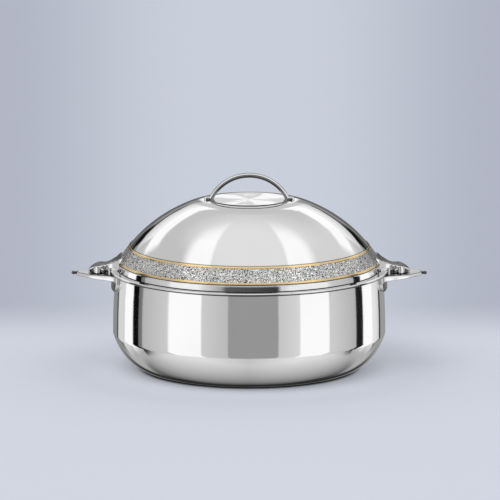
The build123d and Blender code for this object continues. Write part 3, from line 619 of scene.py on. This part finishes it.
# Floor, measured on a level sheet one unit down
FLOOR_MIDDLE = 0.42            # brightness under the pot
FLOOR_SIDE_GAIN = 0.33         # per unit across
FLOOR_SIDE_REACH = 1.3         # across, beyond which it gains no more
FLOOR_FRONT_GAIN = (0.0, 0.55, 0.0, 0.27)   # ahead from and to, what it gains there
FLOOR_FRONT_LOSS = (0.6, 1.2, 0.0, 0.12)    # and loses again
FLOOR_BACK_LOSS = (-0.9, 0.0, 0.46, 0.0)
FLOOR_DARKEST = 0.006
FLOOR_TOP = (-42, -34)         # elevation over which the floor ends
BETWEEN = (0.5, 0.5, 0.5, 1)   # grey between the floor and the ceiling, behind the cards

LEVEL_GUARD = 0.02             # least height of a direction, so that no division is by nil


def grey_card(shader, colour, azimuth, elevation, az_range, el_range, brightness, soft_az, soft_el):
    """Lays one card over the colour so far."""
    across = shader.times(shader.span(azimuth, az_range[0] - soft_az, az_range[0] + soft_az),
                          shader.fade(azimuth, az_range[1] - soft_az, az_range[1] + soft_az))
    upward = shader.times(shader.span(elevation, el_range[0] - soft_el, el_range[0] + soft_el),
                          shader.fade(elevation, el_range[1] - soft_el, el_range[1] + soft_el))
    inside = shader.times(across, upward)
    return shader.mix(inside, colour, shader.span(azimuth, *az_range, *brightness, smooth=False))


def ceiling(shader, parts):
    """Pale ceiling with a slanted softbox over each side."""
    height = shader.math("MAXIMUM", parts[2], LEVEL_GUARD)
    across = shader.math("DIVIDE", parts[0], height)
    ahead = shader.math("DIVIDE", shader.times(parts[1], -1.0), height)
    base = shader.span(ahead, CEILING_BACK[0], CEILING_FRONT[0], CEILING_BACK[1], CEILING_FRONT[1])
    wide = shader.math("ABSOLUTE", across)
    sides = shader.span(across, *CEILING_CHANGE, *CEILING_SIDES)
    base = shader.mix(shader.span(wide, *CEILING_WINGS), base, sides)
    inner = shader.math("SUBTRACT", wide, shader.math("MULTIPLY_ADD", ahead, *BOX_INNER))
    outer = shader.math("SUBTRACT", shader.math("MULTIPLY_ADD", ahead, *BOX_OUTER), wide)
    box = shader.times(shader.span(inner, *BOX_INNER_SOFT), shader.span(outer, *BOX_OUTER_SOFT),
                       shader.span(ahead, *BOX_BACK), shader.fade(ahead, *BOX_FRONT))
    return shader.mix(box, base, BOX_COLOUR)


def mirrored_floor(shader, parts):
    """Floor that is pale in front and at the sides and dark behind the pot."""
    depth = shader.math("MAXIMUM", shader.times(parts[2], -1.0), LEVEL_GUARD)
    wide = shader.math("DIVIDE", shader.math("ABSOLUTE", parts[0]), depth)
    ahead = shader.math("DIVIDE", shader.times(parts[1], -1.0), depth)
    level = shader.math("MULTIPLY_ADD", shader.math("MINIMUM", wide, FLOOR_SIDE_REACH),
                        FLOOR_SIDE_GAIN, FLOOR_MIDDLE)
    front = shader.math("SUBTRACT", shader.span(ahead, *FLOOR_FRONT_GAIN, smooth=False),
                        shader.span(ahead, *FLOOR_FRONT_LOSS))
    back = shader.span(ahead, *FLOOR_BACK_LOSS, smooth=False)
    level = shader.math("SUBTRACT", shader.math("ADD", level, front), back)
    return shader.math("MAXIMUM", level, FLOOR_DARKEST)


# ---------------------------------------------------------------- studio as the camera sees it

CAMERA_ELEVATION = radians(10.5)
CAMERA_DISTANCE = 6.0
CAMERA_SIGHT = 100             # metres
FRAME_WIDTH = 0.513            # what the frame spans at the pot's axis
AIM = Vector((0.0008, 0, 0.122))
SENSOR_WIDTH = 36.0

KEY_STRENGTH = 0.6
KEY_SPREAD = radians(50)
KEY_TILT = (radians(25), radians(-15), 0)

ROOM_LIGHT = (0.80, 0.80, 0.81, 1)      # what matt surfaces are lit by
FLOOR_RADIUS = 30
# Floor and backdrop darken towards the sides: a painted falloff of light
FLOOR_PALE = (0.668, 0.700, 0.772, 1)
FLOOR_EDGE = (0.665, 0.697, 0.775, 1)
BACKDROP_MIDDLE = (0.600, 0.640, 0.720, 1)
BACKDROP_EDGE = (0.455, 0.482, 0.565, 1)
FAR_MIDDLE = (0.579, 0.617, 0.695, 1)   # beyond the floor's far edge, with the same painted falloff to FAR_EDGE
FAR_EDGE = (0.440, 0.466, 0.546, 1)
HORIZON = (0.12, 0.36)         # depth behind the pot over which the floor passes into the backdrop
FLOOR_SPREAD = (0.01, 0.04)    # painted falloff of light, from middle to edge, to the side for each unit of depth
BACKDROP_SPREAD = (0.008, 0.044)
CONTACT_RING = (0.107, 0.1165, 0.12, 1.0)   # radii over which the painted shadow under the base ends, light left
GLOW_RING = (0.120, 0.190, 1.18, 1.0)       # and over which the painted light thrown by the steel ends


def build_world():
    """Studio for what mirrors it, plain light for matt surfaces, and the far backdrop for the camera."""
    world = bpy.data.worlds.new("studio")
    bpy.context.scene.world = world
    world.use_nodes = True
    shader = Shader(world.node_tree)
    parts = shader.separate(shader.add("ShaderNodeTexCoord").outputs["Generated"])
    heading = shader.math("ARCTAN2", parts[0], shader.times(parts[1], -1.0))
    azimuth = shader.times(heading, 180 / pi)
    elevation = shader.times(shader.math("ARCSINE", parts[2]), 180 / pi)
    reflected = shader.mix(shader.span(elevation, *FLOOR_TOP), mirrored_floor(shader, parts), BETWEEN)
    reflected = shader.mix(shader.span(elevation, *CEILING_EDGE), reflected, ceiling(shader, parts))
    for card in WALL_CARDS:
        reflected = grey_card(shader, reflected, azimuth, elevation, *card)
    either_side = shader.math("ABSOLUTE", azimuth)
    for card in BACK_CARDS:
        reflected = grey_card(shader, reflected, either_side, elevation, *card)
    path = shader.add("ShaderNodeLightPath").outputs
    depth = shader.math("MAXIMUM", shader.math("ABSOLUTE", parts[1]), 0.05)
    beside = shader.math("DIVIDE", shader.math("ABSOLUTE", parts[0]), depth)
    # backdrop for the camera, darker to the sides as a painted falloff of light
    far = shader.mix(shader.span(beside, *BACKDROP_SPREAD), FAR_MIDDLE, FAR_EDGE)
    seen = shader.mix(path["Is Camera Ray"], reflected, far)
    light = shader.mix(path["Is Diffuse Ray"], seen, ROOM_LIGHT)
    background = shader.add("ShaderNodeBackground", {0: light, 1: 1.0})
    shader.put(shader.add("ShaderNodeOutputWorld").inputs[0], background.outputs[0])


def build_floor():
    """Large plain floor that fades into a blue-grey backdrop, paler behind the pot and darker to the sides
    as a painted falloff of light, with a painted shadow round the base and painted light round that.
    """
    bpy.ops.mesh.primitive_circle_add(vertices=96, radius=FLOOR_RADIUS, fill_type="NGON")
    floor = bpy.context.object
    floor.name = "floor"
    material = bpy.data.materials.new("studio_floor")
    material.use_nodes = True
    shader = Shader(material.node_tree)
    _, parts, radius, _ = shader.place()
    away = shader.math("ADD", parts[1], CAMERA_DISTANCE)
    side = shader.math("DIVIDE", shader.math("ABSOLUTE", parts[0]), shader.math("MAXIMUM", away, 1.0))
    # painted falloff of light, darker to the sides
    near = shader.mix(shader.span(side, *FLOOR_SPREAD), FLOOR_PALE, FLOOR_EDGE)
    far = shader.mix(shader.span(side, *BACKDROP_SPREAD), BACKDROP_MIDDLE, BACKDROP_EDGE)
    colour = shader.mix(shader.span(parts[1], *HORIZON), near, far)
    # painted shadow round the base, and painted light just beyond it
    under = shader.times(shader.span(radius, *CONTACT_RING), shader.span(radius, *GLOW_RING))
    colour = shader.add("ShaderNodeVectorMath", {0: colour, "Scale": under}, operation="SCALE").outputs[0]
    surface = shader.add("ShaderNodeBsdfDiffuse", {"Color": colour})
    shader.put(shader.add("ShaderNodeOutputMaterial").inputs[0], surface.outputs[0])
    floor.data.materials.append(material)
    floor.visible_glossy = False


def add_key_light():
    """Broad soft light from above and in front, which gives the floor its weak shadow."""
    lamp = bpy.data.lights.new("key", "SUN")
    lamp.energy = KEY_STRENGTH
    lamp.angle = KEY_SPREAD
    key = bpy.data.objects.new("key", lamp)
    key.rotation_euler = KEY_TILT
    key.visible_glossy = False
    bpy.context.scene.collection.objects.link(key)


def add_camera():
    camera = bpy.data.cameras.new("camera")
    camera.sensor_width = SENSOR_WIDTH
    camera.lens = SENSOR_WIDTH * CAMERA_DISTANCE / FRAME_WIDTH
    camera.clip_end = CAMERA_SIGHT
    holder = bpy.data.objects.new("camera", camera)
    away = Vector((0, -cos(CAMERA_ELEVATION), sin(CAMERA_ELEVATION)))
    holder.location = AIM + away * CAMERA_DISTANCE
    holder.rotation_euler = (-away).to_track_quat("-Z", "Y").to_euler()
    bpy.context.scene.collection.objects.link(holder)
    bpy.context.scene.camera = holder


build_world()
build_floor()
add_key_light()
add_camera()
bpy.context.scene.view_settings.view_transform = "Standard"
